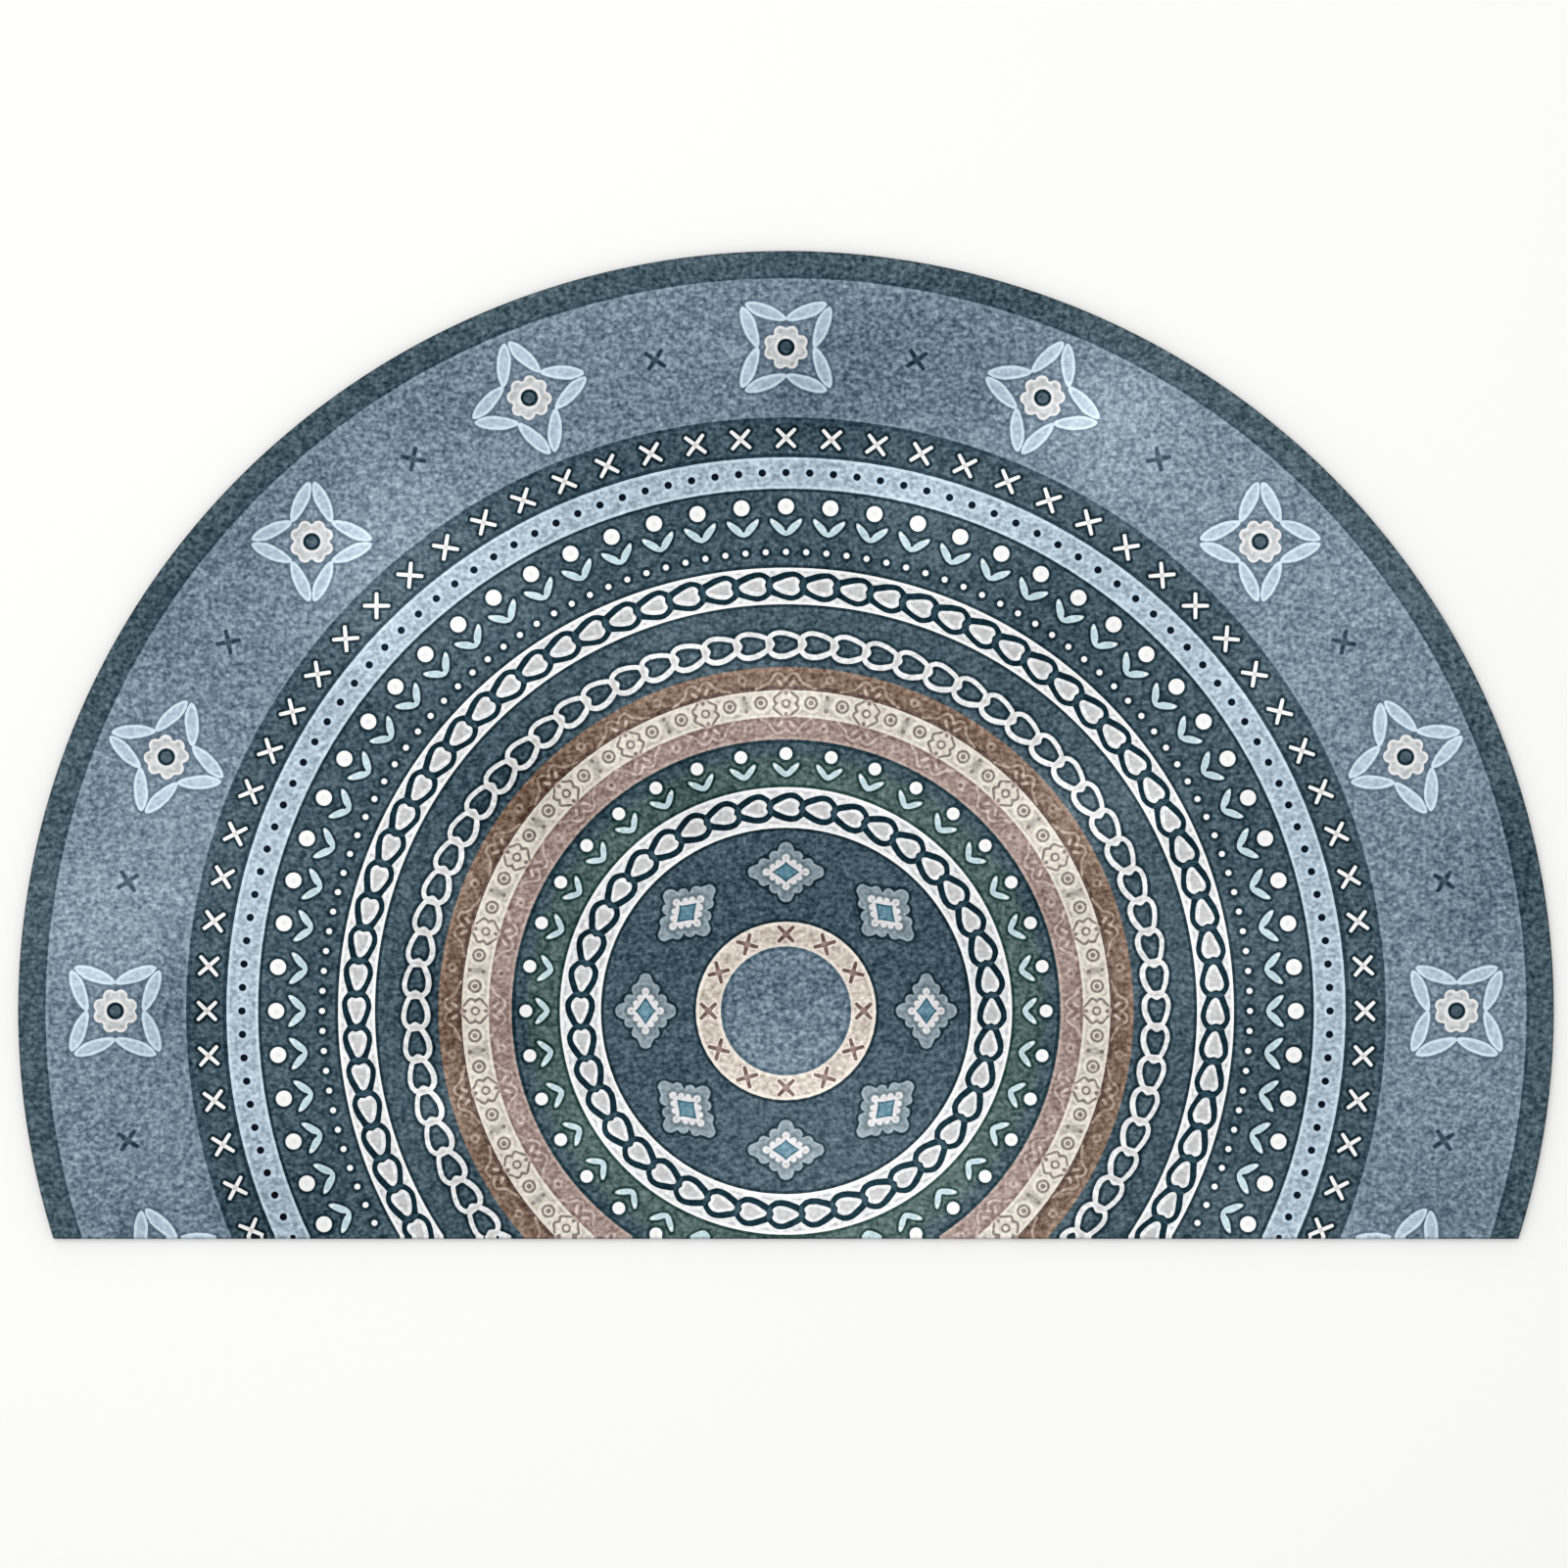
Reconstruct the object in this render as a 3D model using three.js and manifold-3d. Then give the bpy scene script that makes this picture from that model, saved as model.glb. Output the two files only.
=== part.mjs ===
// Half round doormat: one flat panel of printed low-pile cloth, cut to shape.
// It lies on the floor with its arc to the back (+Y) and its straight edge to the front (-Y).
// The origin is at the middle of the mat's outline, on the floor. Lengths are in millimetres.

import * as THREE from 'three';
import { mergeVertices } from 'three/addons/utils/BufferGeometryUtils.js';
import Module from 'manifold-3d';

// Driving dimensions
const WIDTH = 900; // across the widest part of the arc
const ARC_HEIGHT = 445.3; // from the arc's centre to its top: the round is a little oval
const CUT_DROP = 133.7; // from the arc's centre down to the straight edge
const THICKNESS = 6; // pile, ground cloth and non-slip back together
const PILE_ROUND = 2; // the pile rolls over the cut edge by this much, inwards and down

const ARC_STEPS = 90; // two chords to a step
const ROUND_STEPS = 3; // steps of the rolled pile edge

const PILE_FINISH = { color: 0x5f7482, roughness: 0.95, metalness: 0 };

const depth = ARC_HEIGHT + CUT_DROP;
const arcCentreY = CUT_DROP - depth / 2;

// The outline: an arc of well over half a turn, closed by the straight edge.
function matOutline() {
  const halfWidth = WIDTH / 2;
  const cornerAngle = Math.asin(-CUT_DROP / ARC_HEIGHT);
  const outline = new THREE.Shape();
  outline.absellipse(0, arcCentreY, halfWidth, ARC_HEIGHT, cornerAngle, Math.PI - cornerAngle);
  outline.closePath();
  return outline;
}

// A panel with its pile edge rolled over at the top and, below the floor, at the bottom.
function roundedPanel() {
  return new THREE.ExtrudeGeometry(matOutline(), {
    depth: THICKNESS - PILE_ROUND,
    curveSegments: ARC_STEPS,
    steps: 1,
    bevelEnabled: true,
    bevelThickness: PILE_ROUND,
    bevelSize: PILE_ROUND,
    bevelOffset: -PILE_ROUND,
    bevelSegments: ROUND_STEPS,
  });
}

// A block that fills the space just under the floor, wider than the mat.
function blockBelowFloor() {
  const margin = 20;
  const height = 2 * PILE_ROUND;
  const block = new THREE.BoxGeometry(WIDTH + margin, depth + margin, height);
  block.translate(0, 0, -height / 2);
  return block;
}

function solidFrom(wasm, geometry) {
  const bare = geometry.clone();
  bare.deleteAttribute('normal');
  bare.deleteAttribute('uv');
  const welded = mergeVertices(bare);
  const mesh = new wasm.Mesh({
    numProp: 3,
    vertProperties: new Float32Array(welded.attributes.position.array),
    triVerts: new Uint32Array(welded.index.array),
  });
  return new wasm.Manifold(mesh);
}

function geometryFrom(solid) {
  const mesh = solid.getMesh();
  const geometry = new THREE.BufferGeometry();
  geometry.setAttribute('position', new THREE.BufferAttribute(mesh.vertProperties, 3));
  geometry.setIndex(new THREE.BufferAttribute(mesh.triVerts, 1));
  geometry.computeVertexNormals();
  return geometry;
}

// The mat keeps its rolled pile edge at the top and gets a flat, square-edged underside.
function matMesh(wasm) {
  const panel = solidFrom(wasm, roundedPanel());
  const below = solidFrom(wasm, blockBelowFloor());
  const material = new THREE.MeshStandardMaterial(PILE_FINISH);
  const mesh = new THREE.Mesh(geometryFrom(panel.subtract(below)), material);
  mesh.name = 'mat';
  return mesh;
}

const wasm = await Module();
wasm.setup();

const doormat = new THREE.Group();
doormat.add(matMesh(wasm));

export default doormat;
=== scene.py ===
"""Half round doormat, laid flat: one panel of short cut pile with a dyed ring pattern.

The pattern is charted in millimetres around the arc's centre. Angles run clockwise
from the top of the arc. A motif's own x runs clockwise along its ring and its y runs outwards.
"""

import logging
import math
from dataclasses import dataclass, field
from enum import Enum

import bmesh
import bpy
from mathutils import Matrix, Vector, noise
from mathutils.geometry import delaunay_2d_cdt


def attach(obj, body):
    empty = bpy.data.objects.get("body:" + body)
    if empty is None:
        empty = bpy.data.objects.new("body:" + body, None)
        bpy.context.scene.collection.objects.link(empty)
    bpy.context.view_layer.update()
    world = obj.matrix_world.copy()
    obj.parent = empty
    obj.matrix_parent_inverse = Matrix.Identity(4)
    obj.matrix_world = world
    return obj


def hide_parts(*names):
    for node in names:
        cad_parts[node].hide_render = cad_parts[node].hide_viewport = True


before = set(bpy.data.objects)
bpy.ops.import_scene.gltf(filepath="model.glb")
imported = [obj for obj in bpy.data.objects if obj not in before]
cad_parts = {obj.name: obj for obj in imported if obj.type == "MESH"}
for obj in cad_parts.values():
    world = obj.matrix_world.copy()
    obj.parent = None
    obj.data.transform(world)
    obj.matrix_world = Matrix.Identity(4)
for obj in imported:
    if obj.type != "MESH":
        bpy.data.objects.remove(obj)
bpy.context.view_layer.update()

log = logging.getLogger("doormat")

MM = 0.001
DISPLAY_GAMMA = 2.2

Point = tuple[float, float]
Loop = list[Point]


def linear(tone: str, level: float = 1.0) -> tuple[float, float, float, float]:
    """Turns an sRGB hex value into a linear colour.

    Args:
        tone: Six hex digits.
        level: What the colour is multiplied by.

    Returns:
        Linear red, green, blue and an alpha of 1.
    """
    parts = [int(tone[i : i + 2], 16) / 255 for i in (0, 2, 4)]
    red, green, blue = (
        level * (p / 12.92 if p <= 0.04045 else ((p + 0.055) / 1.055) ** 2.4) for p in parts
    )
    return red, green, blue, 1.0


@dataclass(frozen=True)
class Dye:
    """One dye of the print.

    Attributes:
        tone: Its colour on the pile, as sRGB hex.
        mottle: How much of the pile's mottle shows in it, 1 being the blue field.
    """

    tone: str
    mottle: float = 1.0


class Ink(Enum):
    """The dyes of the print. A line is the darker or paler edge that a dye dries to."""

    BORDER = Dye("485B65", 0.8)
    BORDER_LINE = Dye("3B4E5B", 0.7)
    FIELD = Dye("788A99", 1.0)
    FIELD_LINE = Dye("8194A2", 0.8)
    FIELD_LIGHT = Dye("92A5B5", 0.8)
    SLATE = Dye("475A65", 0.79)
    SLATE_EDGE = Dye("20353F", 0.4)
    SLATE_LINE = Dye("293D49", 0.4)
    PALE = Dye("AFC0CE", 0.95)
    PALE_LINE = Dye("CDDEEA", 0.5)
    WHITE = Dye("FFFFFF", 0.15)
    LINEN = Dye("CCCCCD", 0.4)
    BONE = Dye("F0F1F2", 0.6)
    PETAL = Dye("B9CBDA", 0.5)
    PETAL_RIM = Dye("D5E8F3", 0.25)
    PETAL_SHADOW = Dye("687A8A", 0.6)
    ROSETTE = Dye("CDD0D0", 0.5)
    ROSETTE_RIM = Dye("ECECED", 0.25)
    ROSETTE_DEEP = Dye("BFBEBE", 0.5)
    INK_DARK = Dye("0F2934", 0.3)
    INK_MID = Dye("4B5C68", 0.5)
    INK_BLACK = Dye("02121F", 0.2)
    DOT_RING = Dye("C2D4E2", 0.5)
    CROSS_DARK = Dye("2C4252", 0.4)
    CROSS_HALO = Dye("192D36", 0.4)
    AQUA = Dye("C6E0E7", 0.4)
    AQUA_RIM = Dye("D6E9EE", 0.25)
    WHITE_SOFT = Dye("F4F4F2", 0.2)
    KNOT_PALE = Dye("DFDEDC", 0.3)
    CHAIN_DARK = Dye("0A2834", 0.3)
    CHAIN_KNOT = Dye("304A56", 0.4)
    BROWN = Dye("826C5E", 0.9)
    BROWN_TOP = Dye("927969", 0.9)
    BROWN_LINE = Dye("65534A", 0.7)
    BROWN_LIGHT = Dye("AA978A", 0.8)
    BROWN_LEAF = Dye("BFADA2", 0.7)
    BROWN_DARK = Dye("735D4F", 0.8)
    CREAM = Dye("CFC8BD", 0.7)
    CREAM_LINE = Dye("EAE3D8", 0.4)
    CREAM_PALE = Dye("E0D8CD", 0.6)
    CREAM_INK = Dye("8A827B", 0.5)
    CREAM_GREY = Dye("B4ADA6", 0.6)
    ROSE = Dye("A28E86", 0.9)
    ROSE_LINE = Dye("B8A49D", 0.7)
    ROSE_LIGHT = Dye("C0ADA7", 0.8)
    ROSE_LEAF = Dye("D0BDB6", 0.7)
    ROSE_DARK = Dye("8E7A73", 0.8)
    NAVY = Dye("445762", 0.79)
    NAVY_LINE = Dye("1F3841", 0.5)
    TEAL_GREY = Dye("4B5F64", 0.79)
    GREEN = Dye("516765", 0.79)
    GREEN_LINE = Dye("26423F", 0.5)
    SLATE_DEEP = Dye("445763", 0.79)
    DEEP_LINE = Dye("1A2F39", 0.4)
    SAND = Dye("D3CABD", 0.9)
    SAND_LINE = Dye("F5ECE1", 0.4)
    SAND_INNER = Dye("EBE1D6", 0.5)
    DISC = Dye("6D7F8E", 1.07)
    DISC_LINE = Dye("506877", 0.7)
    COCOA = Dye("705C52", 0.5)
    COCOA_LIGHT = Dye("96807A", 0.5)
    HAZE = Dye("8A99A2", 0.6)
    HAZE_RIM = Dye("9AAAB2", 0.5)
    HAZE_DEEP = Dye("72838A", 0.6)
    BEAD = Dye("E5E3E5", 0.3)
    TEAL = Dye("648C9D", 0.6)
    TEAL_DARK = Dye("40697A", 0.5)


def circle(radius: float, steps: int, centre: Point = (0.0, 0.0)) -> Loop:
    """Gives the points of a circle.

    Args:
        radius: Its radius.
        steps: How many points it has.
        centre: Its middle.

    Returns:
        The points, anticlockwise.
    """
    step = 2 * math.pi / steps
    return [
        (centre[0] + radius * math.cos(i * step), centre[1] + radius * math.sin(i * step))
        for i in range(steps)
    ]


def flipped(loop: Loop) -> Loop:
    """Mirrors a loop left to right."""
    return [(-x, y) for x, y in loop]


def swapped(loop: Loop) -> Loop:
    """Mirrors a loop across the diagonal of its motif."""
    return [(y, x) for x, y in loop]


def turned(loop: Loop, degrees: float) -> Loop:
    """Turns a loop clockwise around its motif's middle."""
    c, s = math.cos(math.radians(degrees)), math.sin(math.radians(degrees))
    return [(x * c + y * s, y * c - x * s) for x, y in loop]


def moved(loop: Loop, x: float, y: float) -> Loop:
    """Shifts a loop."""
    return [(px + x, py + y) for px, py in loop]


def anticlockwise(loop: Loop) -> Loop:
    """Gives the loop with its inside on the left."""
    area = sum(a[0] * b[1] - b[0] * a[1] for a, b in zip(loop, loop[1:] + loop[:1]))
    return loop if area > 0 else loop[::-1]


def gap(point: Point, loop: Loop) -> float:
    """Gives the distance from a point to the nearest side of a loop."""
    least = math.inf
    for (ax, ay), (bx, by) in zip(loop, loop[1:] + loop[:1]):
        dx, dy = bx - ax, by - ay
        along = ((point[0] - ax) * dx + (point[1] - ay) * dy) / (dx * dx + dy * dy)
        along = min(max(along, 0.0), 1.0)
        least = min(least, math.hypot(point[0] - ax - along * dx, point[1] - ay - along * dy))
    return least


def grown(loop: Loop, by: float) -> Loop:
    """Moves every side of a loop outwards, or inwards where by is negative.

    A corner that would come nearer to the loop than that is left out, so that the sides of
    a narrow tip or notch don't cross.

    Args:
        loop: A closed loop of points.
        by: How far each side moves.

    Returns:
        The moved loop, anticlockwise.
    """
    loop = anticlockwise(loop)
    if not by:
        return loop
    out = []
    for before, here, after in zip(loop[-1:] + loop[:-1], loop, loop[1:] + loop[:1]):
        first = Vector((here[0] - before[0], here[1] - before[1])).normalized()
        second = Vector((after[0] - here[0], after[1] - here[1])).normalized()
        side = Vector((first.y + second.y, -first.x - second.x))
        side *= by / max(0.55, 1 + first.dot(second))
        out.append((here[0] + side.x, here[1] + side.y))
    return [p for p in out if gap(p, loop) > 0.985 * abs(by)]


def rounded(loop: Loop, steps: int = 3, closed: bool = True) -> Loop:
    """Draws a smooth curve through charted points (a Catmull-Rom spline).

    Args:
        loop: The charted points.
        steps: How many steps the curve takes from each point to the next.
        closed: Whether the curve comes back to its start.

    Returns:
        The points of the curve.
    """
    count = len(loop)
    out = []
    for i in range(count if closed else count - 1):
        if closed:
            p0, p1, p2, p3 = (loop[(i + k) % count] for k in (-1, 0, 1, 2))
        else:
            p0, p1, p2, p3 = (loop[min(max(i + k, 0), count - 1)] for k in (-1, 0, 1, 2))
        for k in range(steps):
            t = k / steps
            out.append(
                tuple(
                    b + 0.5 * t * (c - a + t * (2 * a - 5 * b + 4 * c - d + t * (3 * b - a - 3 * c + d)))
                    for a, b, c, d in zip(p0, p1, p2, p3)
                )
            )
    return out if closed else out + [loop[-1]]


def thinned(loop: Loop, slack: float = 0.08) -> Loop:
    """Leaves out the points of a loop that lie almost straight between their neighbours.

    Args:
        loop: A closed loop of points.
        slack: How far a left-out point may lie from the new side.

    Returns:
        The loop with fewer points.
    """
    out, skipped = [loop[0]], []
    for here, after in zip(loop[1:], loop[2:] + loop[:1]):
        skipped.append(here)
        if max(gap(p, [out[-1], after]) for p in skipped) > slack:
            out.append(here)
            skipped = []
    return out


def stroke(path: Loop, width: float, ends: float = 0.6) -> Loop:
    """Gives the outline of a line drawn with a pen.

    Args:
        path: The pen's way.
        width: The line's width at its middle.
        ends: The width at both ends, as a share of the middle's.

    Returns:
        The outline, down one side and back up the other.
    """
    left, right = [], []
    last = len(path) - 1
    for i, (x, y) in enumerate(path):
        before, after = path[max(i - 1, 0)], path[min(i + 1, last)]
        way = Vector((after[0] - before[0], after[1] - before[1])).normalized()
        half = 0.5 * width * (ends + (1 - ends) * math.sin(math.pi * i / last))
        left.append((x - way.y * half, y + way.x * half))
        right.append((x + way.y * half, y - way.x * half))
    return left + right[::-1]


def vesica(start: Point, end: Point, width: float, steps: int = 5) -> Loop:
    """Gives a leaf with two pointed ends.

    Args:
        start: One end.
        end: The other end.
        width: Its width at the middle.
        steps: How many steps each side takes.

    Returns:
        The leaf's outline.
    """
    along = Vector((end[0] - start[0], end[1] - start[1]))
    across = Vector((-along.y, along.x)).normalized() * width / 2
    out = []
    for way in (1, -1):
        for k in range(steps):
            t = k / steps if way > 0 else 1 - k / steps
            p = Vector(start) + along * t + across * way * math.sin(math.pi * t) ** 0.8
            out.append((p.x, p.y))
    return out


def scalloped(lobes: list[tuple[float, float, float]], steps: int) -> Loop:
    """Gives the outer line of overlapping round lobes.

    Args:
        lobes: Each lobe's middle and radius. Together they go round the motif's middle.
        steps: How many points the line has.

    Returns:
        The line, one point for each step of angle.
    """
    out = []
    for i in range(steps):
        turn = 2 * math.pi * (i + 0.5) / steps
        c, s = math.cos(turn), math.sin(turn)
        reach = 0.0
        for x, y, radius in lobes:
            along, off = x * c + y * s, x * s - y * c
            if abs(off) < radius:
                reach = max(reach, along + math.sqrt(radius**2 - off**2))
        out.append((reach * c, reach * s))
    return out


@dataclass
class MatShape:
    """The mat's own sizes, in millimetres, as the solid has them.

    Attributes:
        half_width: Half the arc's width.
        arc_height: From the arc's centre to its top.
        cut_drop: From the arc's centre down to the straight edge.
        thickness: Pile, ground cloth and backing together.
        pile_round: How far the pile rolls over the cut edge, inwards and down.
        backing: The thickness of the non-slip backing.
        step: The spacing of points along the outline.
    """

    half_width: float = 450.0
    arc_height: float = 445.3
    cut_drop: float = 133.7
    thickness: float = 6.0
    pile_round: float = 2.0
    backing: float = 1.4
    step: float = 3.0

    @property
    def stretch(self) -> float:
        """How much wider than round the whole pattern is."""
        return self.half_width / self.arc_height

    @property
    def centre_y(self) -> float:
        """The arc's centre in the shared frame."""
        return self.cut_drop - (self.arc_height + self.cut_drop) / 2

    def outline(self, inset: float) -> Loop:
        """Gives the mat's outline, moved inwards.

        Args:
            inset: How far inside the cut edge the outline runs.

        Returns:
            The outline in the shared frame, from the right end of the straight edge round.
        """
        wide, high = self.half_width - inset, self.arc_height - inset
        low = self.cut_drop - inset
        corner = math.asin(low / high)
        arc_steps = round((math.pi + 2 * corner) * high / self.step)
        out = []
        for i in range(arc_steps + 1):
            turn = -corner + (math.pi + 2 * corner) * i / arc_steps
            out.append((wide * math.cos(turn), self.centre_y + high * math.sin(turn)))
        left, right = out[-1][0], out[0][0]
        cut_steps = round((right - left) / self.step)
        for i in range(1, cut_steps):
            out.append((left + (right - left) * i / cut_steps, self.centre_y - low))
        return out


@dataclass
class PrintChart:
    """The print as flat areas of dye, the later ones lying over the earlier ones.

    Attributes:
        shape: The mat that is printed.
        points: The corners of all areas, in the shared frame.
        areas: Each area's corners.
        dyes: Each area's dye.
    """

    shape: MatShape
    points: list[Vector] = field(default_factory=list)
    areas: list[list[int]] = field(default_factory=list)
    dyes: list[Dye] = field(default_factory=list)

    def lay(self, loop: Loop, ink: Ink) -> None:
        """Adds an area that is given in the shared frame."""
        start = len(self.points)
        self.points += [Vector(p) for p in anticlockwise(loop)]
        self.areas.append(list(range(start, len(self.points))))
        self.dyes.append(ink.value)

    def print_loop(self, loop: Loop, ink: Ink, turn: float = 0.0, radius: float = 0.0) -> None:
        """Adds an area of a motif, unless it lies wholly beyond the straight edge.

        Args:
            loop: The area, in the motif's own directions.
            ink: Its dye.
            turn: How far round the ring the motif is, in degrees.
            radius: How far the motif's middle is from the arc's centre.
        """
        placed = [
            (self.shape.stretch * x, self.shape.centre_y + y)
            for x, y in turned(moved(thinned(loop), 0.0, radius), turn)
        ]
        if max(y for x, y in placed) > self.shape.centre_y - self.shape.cut_drop:
            self.lay(placed, ink)

    def print_disc(self, radius: float, ink: Ink) -> None:
        """Adds a round area that the next ring inwards covers again."""
        self.print_loop(circle(radius, max(48, round(radius * 2 * math.pi / 7.0))), ink)


@dataclass
class Ring:
    """One plain ring of the print, from its outer edge inwards.

    Attributes:
        radius: Its outer edge.
        ink: Its dye.
        outer_line: The dye of the narrow line just inside its outer edge.
        inner_line: The dye of the narrow line just outside its inner edge.
        line_width: The width of both lines.
    """

    radius: float
    ink: Ink
    outer_line: Ink | None = None
    inner_line: Ink | None = None
    line_width: float = 1.84


RINGS = [
    Ring(445.3, Ink.BORDER, None, Ink.BORDER_LINE),
    Ring(429.0, Ink.FIELD, Ink.FIELD_LINE, Ink.FIELD_LINE),
    Ring(347.6, Ink.SLATE, Ink.BORDER_LINE, Ink.SLATE_LINE, 2.29),
    Ring(324.2, Ink.PALE, Ink.PALE_LINE, Ink.PALE_LINE, 1.72),
    Ring(305.9, Ink.SLATE, Ink.SLATE_EDGE, Ink.SLATE_EDGE),
    Ring(259.5, Ink.BONE, Ink.WHITE, Ink.WHITE, 1.38),
    Ring(238.2, Ink.SLATE, Ink.SLATE_EDGE, None),
    Ring(201.4, Ink.BROWN, Ink.BROWN_TOP, Ink.BROWN_LINE, 2.64),
    Ring(187.9, Ink.CREAM, Ink.CREAM_LINE, Ink.CREAM_LINE, 1.72),
    Ring(172.2, Ink.ROSE, Ink.ROSE_DARK, Ink.ROSE_LINE, 1.72),
    Ring(159.0, Ink.NAVY, Ink.NAVY_LINE, None, 2.06),
    Ring(151.7, Ink.TEAL_GREY),
    Ring(148.6, Ink.GREEN, None, Ink.GREEN_LINE, 1.84),
    Ring(131.0, Ink.BONE, Ink.WHITE, Ink.WHITE, 1.38),
    Ring(107.3, Ink.SLATE_DEEP, Ink.DEEP_LINE, Ink.DEEP_LINE),
    Ring(52.22, Ink.SAND, Ink.SAND_LINE, Ink.SAND_INNER, 1.84),
    Ring(37.83, Ink.DISC, Ink.DISC_LINE, None, 2.06),
]


@dataclass
class Motif:
    """Something that repeats round a ring.

    Attributes:
        count: How many fit round a whole ring.
        radius: How far their middles are from the arc's centre.
        first: Where the first one is, in degrees.
    """

    count: int
    radius: float
    first: float = 0.0

    def turns(self) -> list[float]:
        """Gives the place of each repeat, in degrees."""
        return [self.first + 360.0 * i / self.count for i in range(self.count)]

    def layers(self) -> list[list[tuple[Loop, Ink]]]:
        """Gives the motif's areas in layers. A layer is printed all round before the next."""
        raise NotImplementedError

    def print_on(self, chart: PrintChart) -> None:
        """Prints every repeat on the chart."""
        for layer in self.layers():
            for turn in self.turns():
                for loop, ink in layer:
                    chart.print_loop(loop, ink, turn, self.radius)


@dataclass
class DotRow(Motif):
    """A row of round dots.

    Attributes:
        rounds: Each round area's radius, dye and how far out it sits, the biggest first.
    """

    rounds: tuple[tuple[float, Ink, float], ...] = ()

    def layers(self) -> list[list[tuple[Loop, Ink]]]:
        """Gives the dot's rounds, one over the other."""
        drawn = []
        for size, ink, out in self.rounds:
            steps = max(8, round(7 + 2.6 * size))
            drawn.append((circle(size, steps, (0.0, out)), ink))
        return [drawn]


@dataclass
class CrossRow(Motif):
    """A row of saltire crosses, drawn with two strokes each.

    Attributes:
        reach: From the cross's middle to an arm's end, along x and along y.
        pen: The stroke's width.
        ink: The stroke's dye.
        heart: The dye where the strokes cross.
        heart_size: How far that dye reaches.
        halo: The dye that shows round the strokes.
        halo_width: How far it shows.
        pocket: The dye of the four round pockets between the arms, or none.
        pocket_at: How far out the pockets are.
    """

    reach: float = 5.5
    pen: float = 2.2
    ink: Ink = Ink.WHITE
    heart: Ink = Ink.KNOT_PALE
    heart_size: float = 1.49
    halo: Ink = Ink.CROSS_HALO
    halo_width: float = 2.1
    pocket: Ink | None = None
    pocket_at: float = 4.36

    def layers(self) -> list[list[tuple[Loop, Ink]]]:
        """Gives the two strokes, over their halo."""
        long, half = math.sqrt(2) * self.reach, 0.5 * self.pen
        side = [(-long, -0.5 * half), (-0.95 * long, -0.9 * half), (-0.6 * long, -half)]
        side += [(-0.2 * long, -0.95 * half), (0.2 * long, -0.95 * half), (0.6 * long, -half)]
        side += [(0.95 * long, -0.9 * half), (long, -0.5 * half)]
        bar = side + [(-x, -y) for x, y in side]
        bars = [turned(bar, 45.0), turned(bar, -45.0)]
        out = [(grown(b, self.halo_width), self.halo) for b in bars]
        if self.pocket:
            way = self.pocket_at
            out += [
                (circle(0.3 * way, 8, p), self.pocket)
                for p in ((way, 0.0), (-way, 0.0), (0.0, way), (0.0, -way))
            ]
        out += [(b, self.ink) for b in bars]
        out.append((circle(self.heart_size, 10), self.heart))
        return [out]


@dataclass
class LeafPairRow(Motif):
    """A row of V-shaped pairs of leaves, joined at the foot.

    Attributes:
        leaf: The right leaf's outline, from the foot out to the tip and back to the notch.
        swell: How much bigger than that the leaf is all round.
        rim: The width of its pale rim.
        tip: Where the right leaf is lightest.
        halo: The dye that shows round it.
        halo_width: How far it shows.
    """

    leaf: tuple[Point, ...] = ()
    swell: float = 0.11
    rim: float = 0.52
    tip: Point = (7.69, 3.33)
    halo: Ink = Ink.SLATE_EDGE
    halo_width: float = 1.66

    def layers(self) -> list[list[tuple[Loop, Ink]]]:
        """Gives both leaves in one, over their halo."""
        right = rounded(list(self.leaf), 2, False)
        pair = grown(right + flipped(right)[-2:0:-1], self.swell)
        sizes = ((self.halo_width, self.halo), (0.0, Ink.AQUA_RIM), (-self.rim, Ink.AQUA))
        x, y = self.tip
        tips = [(circle(0.92, 7, p), Ink.WHITE) for p in ((x, y), (-x, y))]
        return [[(grown(pair, size), ink) for size, ink in sizes] + tips]


OUTER_LEAF = (
    (0.0, -4.93), (2.81, -4.02), (5.62, -1.61), (7.34, 0.34), (8.55, 2.12), (9.18, 4.13),
    (8.6, 4.93), (6.65, 4.02), (4.7, 2.7), (2.81, 1.15), (1.49, -0.4), (0.92, -1.72), (0.0, -2.58),
)
INNER_LEAF = (
    (0.0, -4.13), (1.72, -3.56), (3.44, -2.35), (5.16, -0.69), (6.42, 0.92), (7.34, 2.64),
    (7.11, 3.56), (5.97, 3.21), (4.82, 2.41), (3.15, 1.26), (2.06, 0.17), (1.26, -0.86), (0.0, -1.66),
)


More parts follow.
